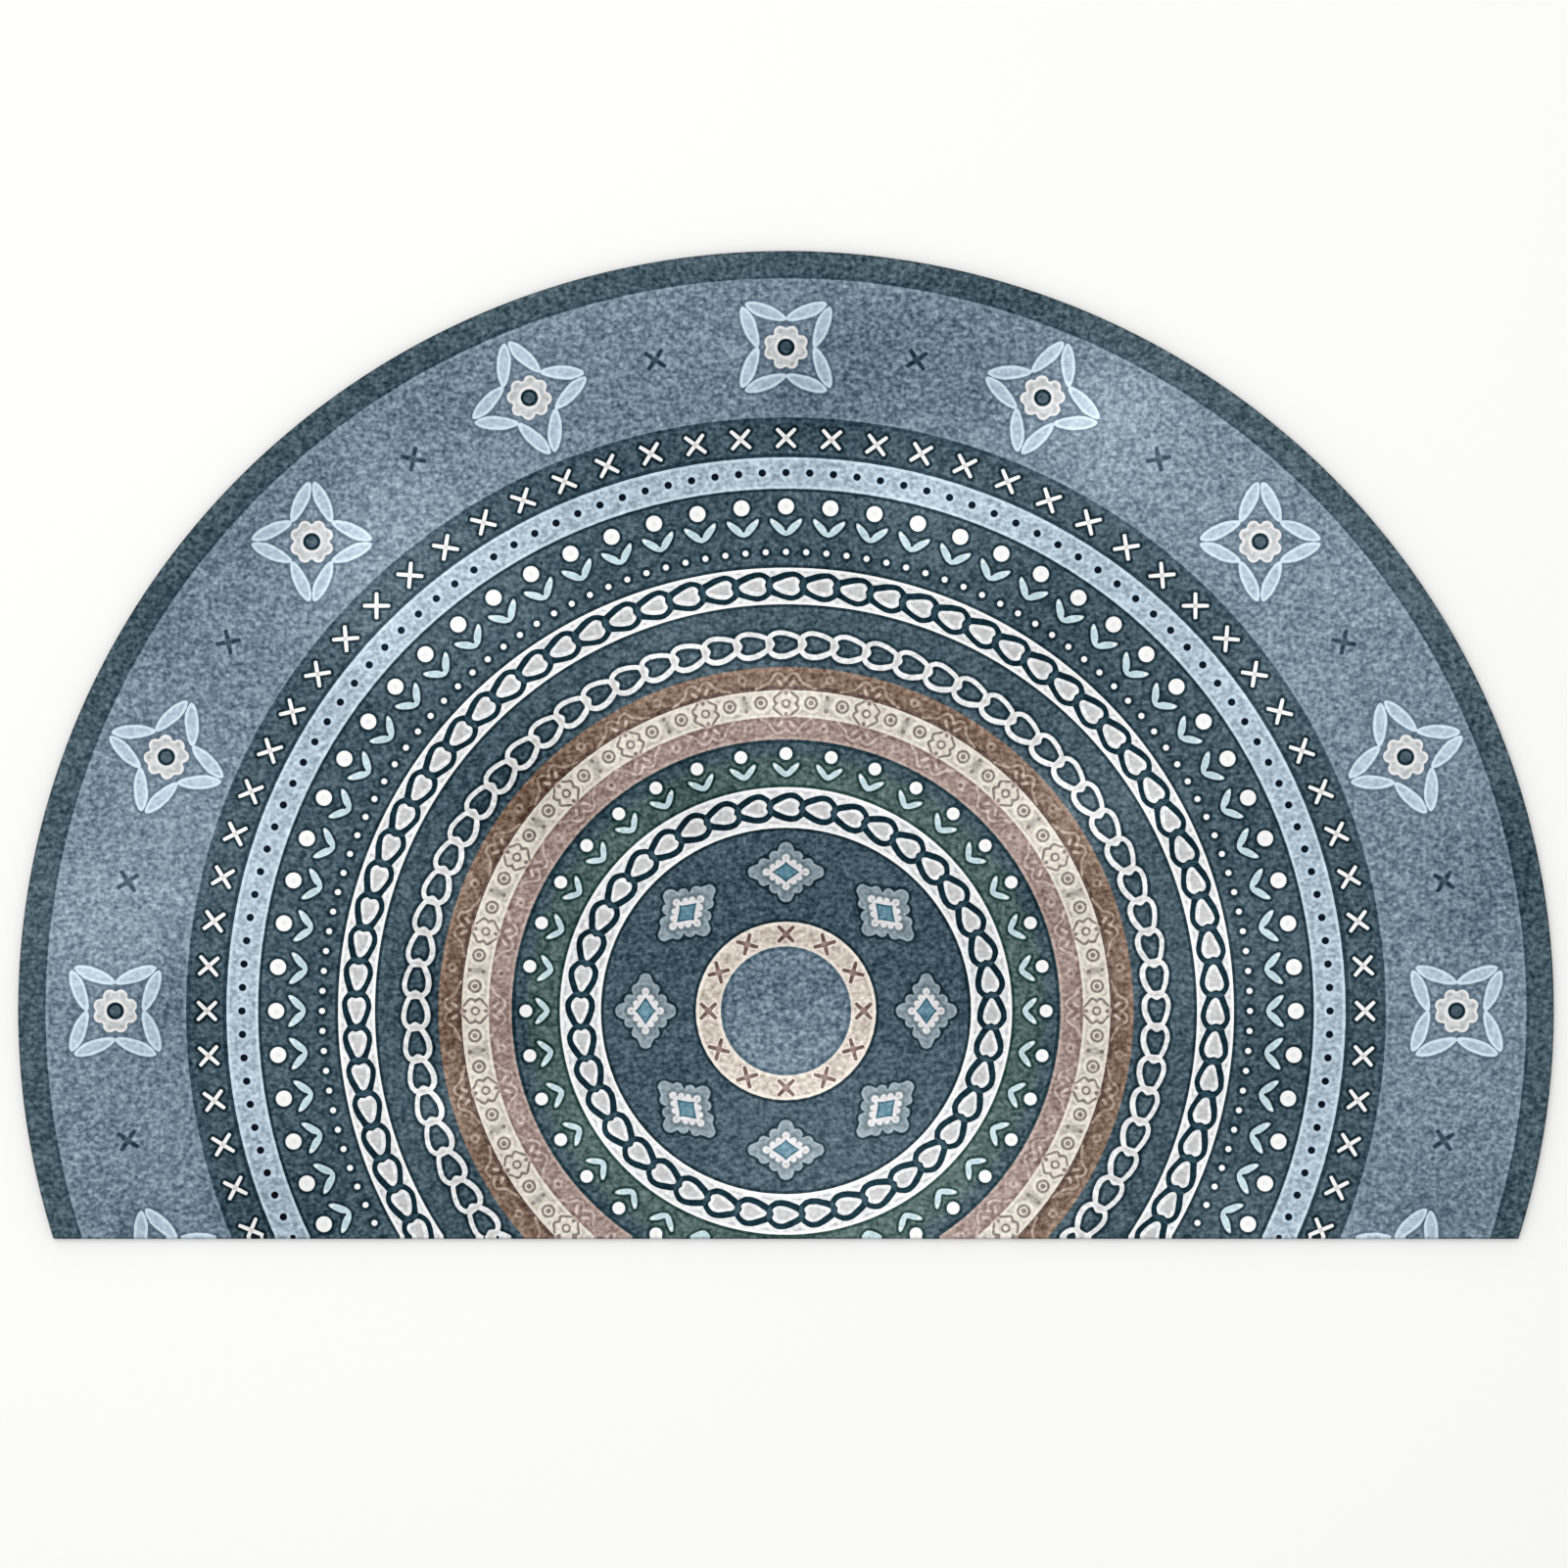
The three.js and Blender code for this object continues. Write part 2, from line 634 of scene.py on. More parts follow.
@dataclass
class StarRow(Motif):
    """A row of four-pointed stars of eight petals round a rosette, every other one turned.

    Attributes:
        petal: The outline of the petal that leans right from the top.
        petal_rim: The width of its pale rim.
        halo_width: How far its shadow shows.
        lobe_at: Where the rosette's first lobe is.
        lobe: The radius of the rosette's lobes.
        lobe_rim: The width of the rosette's pale rim.
        eye: The radius of the rosette's dark eye.
        eye_rim: The width of the pale ring round the eye.
        pupil: The radius of the softer dark in the middle of the eye.
    """

    petal: tuple[Point, ...] = (
        (0.0, 16.17), (0.0, 17.44), (1.32, 18.99), (2.87, 20.42), (5.74, 22.48), (8.6, 24.03),
        (11.47, 25.07), (14.34, 26.04), (17.21, 26.56), (20.08, 26.79), (22.37, 26.56), (23.69, 25.81),
        (23.8, 25.01), (23.4, 24.09), (22.77, 23.12), (22.03, 22.25), (20.25, 20.76), (18.7, 19.56),
        (16.92, 18.53), (14.34, 17.49), (11.47, 16.69), (8.6, 16.0), (5.74, 15.54), (2.87, 15.31),
        (1.15, 15.49),
    )
    petal_rim: float = 1.61
    halo_width: float = 1.78
    lobe_at: Point = (3.21, 8.66)
    lobe: float = 3.87
    lobe_rim: float = 1.38
    eye: float = 5.08
    eye_rim: float = 1.84
    pupil: float = 3.27

    def petals(self, by: float) -> list[Loop]:
        """Gives the eight petals, grown by that much."""
        right = grown(list(self.petal), by)
        quarter = [right, swapped(right)]
        return [turned(p, 90.0 * k) for k in range(4) for p in quarter]

    def layers(self) -> list[list[tuple[Loop, Ink]]]:
        """Gives the petals and the rosette, the shadows first."""
        x, y = self.lobe_at
        lobes = [
            (sx * a, sy * b, self.lobe) for a, b in ((x, y), (y, x)) for sx in (1, -1) for sy in (1, -1)
        ]
        rosette = scalloped(lobes, 64)
        out = [(p, Ink.PETAL_SHADOW) for p in self.petals(self.halo_width)]
        out.append((grown(rosette, self.halo_width), Ink.PETAL_SHADOW))
        out += [(p, Ink.PETAL_RIM) for p in self.petals(0.0)]
        out += [(p, Ink.PETAL) for p in self.petals(-self.petal_rim)]
        out += [(rosette, Ink.ROSETTE_RIM), (grown(rosette, -self.lobe_rim), Ink.ROSETTE)]
        out += [(circle(0.26 * self.lobe, 7, (1.08 * a, 1.08 * b)), Ink.ROSETTE_DEEP) for a, b, r in lobes]
        out.append((circle(self.eye + self.eye_rim, 24), Ink.ROSETTE_RIM))
        out += [(circle(self.eye, 20), Ink.INK_DARK), (circle(self.pupil, 12), Ink.INK_MID)]
        return [out]

    def print_on(self, chart: PrintChart) -> None:
        """Prints the stars, every other one turned by an eighth."""
        drawn = self.layers()[0]
        for i, turn in enumerate(self.turns()):
            for loop, ink in drawn:
                chart.print_loop(turned(loop, 45.0 * (i % 2)), ink, turn, self.radius)


@dataclass
class ChainRow(Motif):
    """A row of links that touch each other, like a drawn chain.

    Attributes:
        outer: The outer line of a link.
        inner: The inner line of its stroke.
        fill: The soft tone inside it, or nothing.
        swell: How much wider the stroke is outwards than that line.
        spots: The outlines of the soft spots between the links.
        knots: The lenses where neighbouring links meet: both ends, the width and the dye.
        line: The stroke's dye.
        inside: The dye inside the stroke.
        halo: The dye that shows round the links and just inside the stroke, or none.
        halo_width: How far it shows round the links.
        halo_inside: How far it shows inside the stroke.
        pockets: Where the halo is darkest.
    """

    outer: tuple[Point, ...] = ()
    inner: tuple[Point, ...] = ()
    fill: tuple[Point, ...] = ()
    swell: float = 0.0
    spots: tuple[tuple[Point, ...], ...] = ()
    knots: tuple[tuple[Point, Point, float, Ink], ...] = ()
    line: Ink = Ink.CHAIN_DARK
    inside: Ink = Ink.BONE
    halo: Ink | None = None
    halo_width: float = 1.89
    halo_inside: float = 2.01
    pockets: tuple[Point, ...] = ()

    def layers(self) -> list[list[tuple[Loop, Ink]]]:
        """Gives the halos, then the strokes, then the insides, so that strokes join."""
        outer = grown(rounded(list(self.outer), 2), self.swell)
        inner = grown(rounded(list(self.inner), 2), -0.3 * self.swell)
        out = [[(rounded(list(spot), 2), Ink.LINEN) for spot in self.spots]]
        if self.halo:
            out.append([(grown(outer, self.halo_width), self.halo)])
            out.append([(circle(1.26, 7, p), Ink.CROSS_HALO) for p in self.pockets[:2]])
        out.append([(outer, self.line)])
        inside = [(inner, self.halo or self.inside)]
        if self.halo:
            inside += [(circle(0.98, 7, p), Ink.CROSS_HALO) for p in self.pockets[2:]]
            inside.append((grown(inner, -self.halo_inside), self.inside))
        if self.fill:
            inside.append((rounded(list(self.fill), 2), Ink.LINEN))
        inside += [(vesica(start, end, width, 4), ink) for start, end, width, ink in self.knots]
        out.append(inside)
        return out


@dataclass
class BloomBand(Motif):
    """The lace of the brown, cream and rose rings: blooms, ringed dots and seeds.

    Attributes:
        edge: The right half of the bloom's drawn line, from its top.
        brown_wave: The right half of the wave beside it in the brown ring.
        rose_wave: The right half of the wave beside it in the rose ring.
        ringed_at: How far beside the bloom the ringed dots are.
        small_rings: The rings of dye between the waves: their place, dye and middle.
    """

    edge: tuple[Point, ...] = (
        (2.75, 7.06), (3.73, 6.02), (4.76, 5.1), (5.91, 4.36), (6.83, 3.5), (7.11, 2.52),
        (6.71, 1.26), (5.97, 0.06), (6.65, -1.32), (7.17, -2.47), (6.65, -3.5), (5.51, -4.47),
        (4.59, -5.16), (3.61, -5.97), (2.75, -6.71), (2.24, -7.28),
    )
    brown_wave: tuple[Point, ...] = (
        (17.78, 8.14), (14.91, 9.35), (12.62, 10.44), (10.78, 11.47), (9.41, 12.39), (8.49, 13.54),
        (7.86, 14.86), (7.23, 16.0), (6.42, 17.04), (5.28, 17.61), (3.44, 17.55), (1.89, 16.75),
        (0.86, 15.6), (0.0, 14.57),
    )
    rose_wave: tuple[Point, ...] = (
        (15.2, -8.6), (13.19, -10.04), (11.36, -11.01), (10.1, -11.82), (9.18, -12.68),
        (8.49, -13.77), (7.8, -15.03), (6.88, -16.17), (5.74, -16.98), (4.36, -17.44),
        (3.15, -17.21), (2.01, -16.52), (0.92, -15.49), (0.0, -14.45),
    )
    ringed_at: float = 14.51
    small_rings: tuple[tuple[float, Ink, Ink], ...] = (
        (195.0, Ink.BROWN_LIGHT, Ink.BROWN_DARK),
        (166.3, Ink.ROSE_LIGHT, Ink.ROSE_DARK),
    )

    def bloom(self) -> list[tuple[Loop, Ink]]:
        """Gives the scalloped bloom in the cream ring."""
        half = rounded(list(self.edge), 2, False)
        line = stroke(half, 1.61, 0.8)
        out = [(half + flipped(half)[::-1], Ink.CREAM_PALE)]
        out += [
            (circle(1.32, 8, (sx * x, sy * y)), Ink.CREAM_LINE)
            for x, y in ((4.53, 2.18), (1.95, 4.59)) for sx in (1, -1) for sy in (1, -1)
        ]
        out += [(line, Ink.CREAM_INK), (flipped(line), Ink.CREAM_INK)]
        out += [(vesica((-3.21, y), (3.21, y), 1.84, 4), Ink.BROWN_LEAF) for y in (7.63, -7.69)]
        out += [(circle(1.09, 7, p), Ink.CREAM_INK) for p in ((5.85, 0.0), (-5.85, 0.0))]
        out += [(circle(1.2, 8, p), Ink.CREAM_INK) for p in ((0.0, 6.08), (0.0, -5.97))]
        out += [(circle(2.81, 14), Ink.CREAM_INK), (circle(1.49, 8), Ink.CREAM_LINE)]
        return out

    def ringed_dot(self, x: float) -> list[tuple[Loop, Ink]]:
        """Gives a dot in a ring, that far to the right of the bloom."""
        rounds = ((4.13, Ink.CREAM_INK), (2.7, Ink.CREAM_PALE), (1.55, Ink.CREAM_INK))
        return [(circle(size, 14 if size > 3 else 8, (x, 0.23)), ink) for size, ink in rounds]

    def seed(self) -> list[tuple[Loop, Ink]]:
        """Gives the upright seed between two ringed dots."""
        body = vesica((0.11, -5.16), (-0.11, 6.6), 3.73, 5)
        ends = [circle(1.26, 7, (-0.11, 4.7)), circle(1.38, 7, (0.11, -3.1))]
        return [(body, Ink.CREAM_GREY)] + [(e, Ink.CREAM_INK) for e in ends]

    def lace(self, side: int, inks: tuple[Ink, Ink, Ink]) -> list[tuple[Loop, Ink]]:
        """Gives the wave and the leaves beside a bloom.

        Args:
            side: 1 for the brown ring and -1 for the rose ring.
            inks: The dyes of the wave, of the leaves and of the ground close to them.

        Returns:
            The areas, the ground first.
        """
        wave, leaf, ground = inks
        path = rounded(list(self.brown_wave if side > 0 else self.rose_wave), 2, False)
        stem = [(2.18, 10.5 * side), (2.98, 11.36 * side), (4.07, 12.62 * side), (4.99, 13.65 * side)]
        deep = Ink.BROWN_LINE if side > 0 else Ink.ROSE_DARK
        shades = ((0.0, 11.13), (4.82, 9.64), (-4.82, 9.64))
        out = [(circle(1.32, 8, (x, y * side)), deep) for x, y in shades]
        for extra, inks_now in ((1.72, (ground, ground)), (0.0, (wave, leaf))):
            line = stroke(path[6 if extra else 0 :], 1.72 + extra, 0.85)
            out += [(line, inks_now[0]), (flipped(line), inks_now[0])]
            drawn = stroke(rounded(stem, 2, False), 2.18 + extra, 0.75)
            out += [(drawn, inks_now[1]), (flipped(drawn), inks_now[1])]
        out += [(circle(1.03, 7, (x, 14.97 * side)), deep) for x in (3.1, -3.1)]
        out.append((circle(1.2, 8, (0.0, 14.57 * side)), leaf))
        return out

    def layers(self) -> list[list[tuple[Loop, Ink]]]:
        """Gives the light ground, then the bloom with its ringed dots and lace."""
        half = rounded(list(self.edge), 1, False)
        ground = [(circle(6.19, 14, (x, 0.34)), Ink.CREAM_LINE) for x in (self.ringed_at, -self.ringed_at)]
        wide = grown(half[1:-1] + flipped(half)[-2:0:-1], 1.95)
        ground.append(([(x, max(-7.57, min(7.63, y))) for x, y in wide], Ink.CREAM_LINE))
        drawn = self.bloom() + self.ringed_dot(self.ringed_at) + self.ringed_dot(-self.ringed_at)
        drawn += self.lace(1, (Ink.BROWN_LIGHT, Ink.BROWN_LEAF, Ink.BROWN_DARK))
        drawn += self.lace(-1, (Ink.ROSE_LIGHT, Ink.ROSE_LEAF, Ink.ROSE_DARK))
        return [ground, drawn]

    def print_on(self, chart: PrintChart) -> None:
        """Prints the blooms, and halfway between them the seeds and the small rings."""
        super().print_on(chart)
        for turn in (t + 180.0 / self.count for t in self.turns()):
            for loop, ink in self.seed():
                chart.print_loop(loop, ink, turn, self.radius)
            for radius, light, dark in self.small_rings:
                chart.print_loop(circle(2.98, 10), light, turn, radius)
                chart.print_loop(circle(1.2, 7), dark, turn, radius)


@dataclass
class DiamondRow(Motif):
    """A row of scalloped diamonds with a white beaded frame round a teal heart.

    Attributes:
        ground: The lobes of one quarter of the hazy ground: middle and radius.
        beads: The beads of one quarter of the frame, the tips' first and last.
        heart: The right upper quarter of the heart, from its right tip.
        halo_width: How far the dark dye shows round the ground.
        ground_rim: The width of the ground's paler rim.
        frame_shadow: How far the shadow shows round the frame.
        heart_rim: The width of the heart's darker rim.
        pearl: The radius of the grey dot in each tip's bead.
        pearl_at: How far out those dots are, along x and along y.
    """

    ground: tuple[tuple[float, float, float], ...] = (
        (18.07, 0.0, 3.99), (12.62, 4.82, 3.38), (6.42, 9.01, 3.36), (0.0, 13.13, 4.47),
    )
    beads: tuple[tuple[float, float, float], ...] = (
        (11.36, 0.0, 2.24), (7.74, 3.1, 1.84), (4.36, 5.45, 1.84), (0.0, 8.43, 2.24),
    )
    heart: tuple[Point, ...] = ((8.09, 0.0), (5.74, 1.61), (2.87, 3.5), (1.32, 4.7), (0.0, 6.25))
    halo_width: float = 1.61
    ground_rim: float = 1.38
    frame_shadow: float = 1.95
    heart_rim: float = 1.09
    pearl: float = 1.03
    pearl_at: Point = (10.73, 8.37)

    def all_round(self, quarter: tuple[tuple[float, float, float], ...]) -> list[tuple[float, float, float]]:
        """Gives the lobes of a quarter, mirrored to all four."""
        return [(sx * x, sy * y, r) for x, y, r in quarter for sx in (1, -1) for sy in (1, -1)]

    def frame(self, by: float, ink: Ink) -> list[tuple[Loop, Ink]]:
        """Gives the beaded frame, grown by that much."""
        wide, high = self.beads[0][0] + by, self.beads[-1][1] + by
        straight = [(wide, 0.0), (0.0, high), (-wide, 0.0), (0.0, -high)]
        beads = [(circle(r + by, 12, (x, y)), ink) for x, y, r in self.all_round(self.beads)]
        return [(straight, ink)] + beads

    def layers(self) -> list[list[tuple[Loop, Ink]]]:
        """Gives the scalloped ground, the beads and the heart."""
        ground = scalloped(self.all_round(self.ground), 72)
        quarter = list(self.heart)
        heart = quarter + flipped(quarter)[-2::-1]
        heart += [(x, -y) for x, y in heart[-2:0:-1]]
        out = [(grown(ground, self.halo_width), Ink.DEEP_LINE), (ground, Ink.HAZE_RIM)]
        out.append((grown(ground, -self.ground_rim), Ink.HAZE))
        out += self.frame(self.frame_shadow, Ink.HAZE_DEEP) + self.frame(0.0, Ink.BEAD)
        wide, high = self.pearl_at
        pearls = ((wide, 0.0), (-wide, 0.0), (0.0, high), (0.0, -high))
        out += [(circle(self.pearl, 6, p), Ink.ROSETTE) for p in pearls]
        out += [(heart, Ink.TEAL_DARK), (grown(heart, -self.heart_rim), Ink.TEAL)]
        return [out]


OUTER_LINK = {
    "outer": (
        (-10.9, 0.0), (-10.32, 2.64), (-8.83, 4.7), (-7.46, 5.33), (-5.74, 5.85), (-2.87, 7.06),
        (0.0, 7.8), (2.87, 8.14), (4.59, 8.14), (6.02, 7.8), (7.46, 7.23), (8.6, 6.54),
        (10.04, 5.39), (11.24, 4.13), (11.82, 2.29), (11.82, -2.29), (11.24, -4.02), (10.04, -5.45),
        (8.6, -6.6), (7.17, -7.4), (5.74, -7.97), (2.87, -8.43), (0.0, -7.97), (-2.87, -7.06),
        (-5.74, -5.97), (-7.17, -5.39), (-8.83, -4.7), (-10.32, -2.64),
    ),
    "inner": (
        (-7.69, 0.17), (-7.23, 1.38), (-5.74, 2.35), (-2.87, 3.38), (0.0, 4.47), (2.87, 5.22),
        (4.59, 5.39), (6.02, 5.05), (7.23, 4.13), (8.03, 2.87), (7.92, 1.72), (7.34, 0.34),
        (7.97, -1.49), (8.14, -2.64), (7.34, -3.96), (5.74, -5.05), (4.3, -5.56), (2.87, -5.68),
        (0.0, -5.16), (-2.87, -4.19), (-5.74, -2.75), (-7.23, -1.26),
    ),
    "fill": (
        (-5.51, 0.23), (-2.87, 1.55), (0.0, 2.52), (2.87, 3.04), (4.82, 3.21), (5.68, 2.52), (5.56, 0.11),
        (5.68, -2.41), (4.82, -3.21), (2.29, -2.98), (0.0, -2.47), (-2.87, -1.32),
    ),
    "spots": (
        ((-9.58, 8.09), (-8.03, 8.72), (-6.48, 8.09), (-8.03, 7.46)),
        ((-9.29, -8.32), (-7.74, -8.89), (-6.19, -8.32), (-7.74, -7.69)),
    ),
    "knots": (((-9.35, -5.74), (-9.35, 5.74), 3.44, Ink.CHAIN_KNOT),),
}

SLATE_LINK = {
    "outer": (
        (-11.18, 0.0), (-11.07, 2.87), (-10.73, 4.7), (-9.98, 5.79), (-8.6, 6.83), (-7.17, 7.57),
        (-5.74, 7.97), (-4.3, 8.2), (-2.87, 8.26), (0.0, 7.86), (2.87, 7.17), (5.74, 6.14),
        (7.46, 5.28), (8.89, 4.36), (10.61, 2.98), (11.36, 0.0), (10.78, -2.87), (8.89, -4.53),
        (7.17, -5.62), (5.74, -6.6), (2.87, -7.92), (0.0, -8.66), (-2.87, -8.95), (-5.74, -8.6),
        (-7.17, -8.09), (-8.6, -7.23), (-9.87, -6.08), (-10.67, -4.93), (-11.07, -2.87),
    ),
    "inner": (
        (-7.97, 3.1), (-7.4, 4.19), (-6.02, 4.99), (-4.3, 5.33), (-2.87, 5.33), (0.0, 4.93),
        (2.87, 4.13), (5.74, 3.1), (6.71, 2.29), (7.0, 0.0), (6.88, -1.84), (5.74, -2.87),
        (2.87, -4.19), (0.0, -5.28), (-2.87, -5.56), (-4.3, -5.51), (-6.02, -5.05), (-7.4, -4.19),
        (-7.97, -3.15), (-7.46, -2.18), (-6.71, -1.03), (-6.42, 0.0), (-6.71, 1.09), (-7.46, 2.12),
    ),
    "knots": (
        ((-9.92, -4.93), (-9.69, 4.7), 2.87, Ink.KNOT_PALE),
        ((-9.52, -1.61), (-9.52, 1.72), 1.38, Ink.LINEN),
    ),
    "pockets": (
        (7.92, 6.42), (8.03, -6.54), (-6.65, 3.27), (-6.65, -3.44), (5.85, 1.38), (5.85, -1.49),
    ),
}

INNER_LINK = {
    "outer": (
        (-10.9, 0.0), (-10.21, 2.52), (-8.6, 4.47), (-7.17, 5.28), (-5.74, 6.14), (-2.87, 7.51),
        (0.0, 8.43), (2.87, 8.78), (4.59, 8.6), (5.74, 8.26), (7.17, 7.4), (8.6, 6.25),
        (9.98, 4.82), (11.13, 2.41), (11.13, -2.29), (9.98, -4.93), (8.6, -6.19), (7.17, -7.23),
        (5.74, -7.86), (2.87, -8.14), (0.0, -7.8), (-2.87, -6.94), (-5.74, -5.79), (-7.69, -4.93),
        (-9.41, -3.79), (-10.44, -2.06),
    ),
    "inner": (
        (-7.51, 0.06), (-7.0, 1.26), (-5.74, 2.18), (-2.87, 3.67), (0.0, 4.99), (1.72, 5.51),
        (3.15, 5.62), (4.59, 5.33), (5.74, 4.82), (7.23, 3.67), (8.03, 2.29), (7.74, 1.15),
        (7.06, -0.17), (7.74, -1.61), (7.8, -2.52), (7.11, -3.56), (5.74, -4.42), (4.3, -4.82),
        (2.87, -4.82), (0.0, -4.36), (-2.87, -3.21), (-5.74, -1.89), (-7.11, -0.98),
    ),
    "fill": (
        (-5.05, 0.23), (-2.87, 1.55), (0.0, 3.04), (2.29, 3.56), (4.7, 2.87), (5.62, 1.38), (5.51, -1.03),
        (5.28, -2.52), (4.02, -3.04), (2.01, -2.81), (0.0, -2.24), (-2.87, -0.98),
    ),
    "spots": (
        ((-11.76, 9.23), (-8.32, 9.64), (-4.88, 9.52), (-6.88, 8.6), (-8.72, 7.8), (-10.21, 8.6)),
        ((-10.21, -9.06), (-8.6, -8.37), (-7.11, -7.69), (-5.16, -8.37), (-2.87, -9.06), (-6.31, -9.46)),
    ),
    "knots": (((-8.72, -5.28), (-9.18, 4.82), 3.21, Ink.CHAIN_KNOT),),
}


@dataclass(frozen=True)
class WornPatch:
    """A soft patch where the pile has taken more or less dye.

    Attributes:
        x: Its middle, in millimetres right of the arc's centre.
        y: Its middle, in millimetres above the arc's centre.
        reach: How far it spreads.
        lift: How much lighter it is, as a share of full white, or darker where negative.
    """

    x: float
    y: float
    reach: float
    lift: float

    def at(self, x: float, y: float) -> float:
        """Gives the patch's lift at a place."""
        return self.lift * math.exp(-((x - self.x) ** 2 + (y - self.y) ** 2) / self.reach**2)


WORN_PATCHES = [
    WornPatch(x, y, reach, lift)
    for x, y, reach, lift in (
        (-225, 285, 45, 0.07), (-245, 235, 32, 0.06), (-175, 235, 45, 0.03), (185, 345, 42, 0.08),
        (225, 305, 60, 0.04), (80, 295, 36, 0.05), (-400, 55, 38, 0.08), (-345, 90, 45, 0.04),
        (165, 115, 28, 0.08), (210, 125, 25, 0.04), (0, 180, 24, 0.05), (-60, 215, 30, 0.04),
        (250, 40, 42, 0.04), (15, -75, 62, 0.07), (110, -110, 60, 0.04), (330, 245, 60, 0.03),
        (285, 190, 22, 0.05), (-110, -75, 16, 0.05), (-200, -55, 20, 0.06), (255, -115, 30, 0.04),
        (60, 440, 26, 0.04), (50, 385, 52, -0.07), (0, 358, 24, -0.06), (125, 382, 38, -0.04),
        (-210, 355, 40, -0.05), (-285, 310, 26, -0.04), (-320, 272, 24, -0.05), (-375, 235, 32, -0.04),
        (-75, 345, 60, -0.03), (-150, 125, 36, -0.08), (-58, 125, 22, -0.06), (-125, 50, 22, -0.04),
        (0, 55, 48, -0.035), (105, 30, 34, -0.025), (-210, 20, 18, -0.06), (-205, -18, 18, -0.06),
        (-155, -12, 24, -0.05), (-362, 2, 28, -0.06), (-375, -35, 36, -0.02), (-300, -120, 46, -0.06),
        (-385, -122, 24, -0.05), (-182, -105, 30, -0.04), (425, 90, 38, -0.05), (398, 52, 32, -0.035),
        (392, -115, 34, -0.05), (300, -42, 34, -0.025), (150, 62, 22, -0.03), (198, -30, 16, -0.04),
        (180, 245, 46, -0.02), (40, 265, 20, -0.03), (260, 100, 40, -0.025),
    )
]


@dataclass
class RingPattern:
    """The whole print: plain rings and the rows of motifs on them."""

    shape: MatShape

    def print_rings(self, chart: PrintChart) -> None:
        """Prints the plain rings with their narrow lines, from the border inwards."""
        for ring, following in zip(RINGS, RINGS[1:] + [None]):
            if ring is not RINGS[0]:
                chart.print_disc(ring.radius, ring.outer_line or ring.ink)
                if ring.outer_line:
                    chart.print_disc(ring.radius - ring.line_width, ring.ink)
            if ring.inner_line and following:
                chart.print_disc(following.radius + ring.line_width, ring.inner_line)

    def rows(self) -> list[Motif]:
        """Gives the rows of motifs, from the border inwards."""
        return [
            StarRow(16, 388.6),
            CrossRow(16, 388.7, 11.25, reach=5.22, pen=2.52, ink=Ink.CROSS_DARK, heart=Ink.INK_MID,
                     heart_size=2.29, halo=Ink.FIELD_LINE, halo_width=1.84, pocket=Ink.FIELD_LIGHT),
            CrossRow(80, 335.5, reach=5.51, pen=2.18, halo_width=1.78),
            DotRow(144, 315.2, rounds=((3.96, Ink.DOT_RING, 0.0), (2.21, Ink.INK_BLACK, 0.0))),
            DotRow(72, 295.4, rounds=((6.37, Ink.SLATE_EDGE, 0.0), (4.65, Ink.WHITE, 0.0),
                                       (1.72, Ink.WHITE_SOFT, 0.0))),
            LeafPairRow(72, 283.3, leaf=OUTER_LEAF),
            DotRow(144, 268.8, rounds=((3.79, Ink.SLATE_EDGE, 0.0), (1.75, Ink.WHITE, 0.0))),
            ChainRow(80, 248.9, **OUTER_LINK, swell=0.34),
            ChainRow(72, 214.8, **SLATE_LINK, swell=-0.14, line=Ink.BONE, inside=Ink.SLATE,
                     halo=Ink.SLATE_EDGE),
            BloomBand(24, 180.0),
            DotRow(36, 150.7, rounds=((5.68, Ink.GREEN_LINE, 0.0), (5.1, Ink.NAVY_LINE, 0.75),
                                       (3.7, Ink.WHITE, 0.0), (1.38, Ink.WHITE_SOFT, 0.0))),
            LeafPairRow(36, 141.4, leaf=INNER_LEAF, swell=0.29, rim=0.46, tip=(6.08, 2.12),
                        halo=Ink.GREEN_LINE),
            ChainRow(40, 119.0, **INNER_LINK, swell=0.26),
            DiamondRow(8, 81.33),
            CrossRow(12, 44.97, reach=4.7, pen=2.24, ink=Ink.COCOA, heart=Ink.COCOA_LIGHT,
                     heart_size=2.18, halo=Ink.SAND_INNER, halo_width=1.03),
        ]

    def chart(self) -> PrintChart:
        """Draws the whole print.

        Returns:
            The chart, whose first area is the mat itself in the border's dye.
        """
        chart = PrintChart(self.shape)
        chart.lay(self.shape.outline(self.shape.pile_round), Ink.BORDER)
        self.print_rings(chart)
        for row in self.rows():
            row.print_on(chart)
            log.info("%s: %d round the ring", type(row).__name__, row.count)
        return chart


def add_node(tree: bpy.types.NodeTree, kind: str, values: dict | None = None, **links) -> bpy.types.Node:
    """Adds a node to a material.

    Args:
        tree: The material's node tree.
        kind: The node's type, without its ShaderNode prefix.
        values: Its settings by name, and its input values by socket name or number.
        **links: Sockets that feed it. A name such as in_0 is an input's number, and Base_Color
            is the input called Base Color.

    Returns:
        The node.
    """
    node = tree.nodes.new("ShaderNode" + kind)
    for name, value in (values or {}).items():
        if isinstance(name, int) or name in node.inputs:
            node.inputs[name].default_value = value
        else:
            setattr(node, name, value)
    for name, socket in links.items():
        key = int(name[3:]) if name.startswith("in_") else name.replace("_", " ")
        tree.links.new(socket, node.inputs[key])
    return node


def new_material(name: str) -> tuple[bpy.types.Material, bpy.types.NodeTree, bpy.types.Node]:
    """Makes an empty material with nodes.

    Args:
        name: The material's name.

    Returns:
        The material, its node tree and its output node.
    """
    material = bpy.data.materials.new(name)
    material.use_nodes = True
    tree = material.node_tree
    tree.nodes.clear()
    return material, tree, tree.nodes.new("ShaderNodeOutputMaterial")


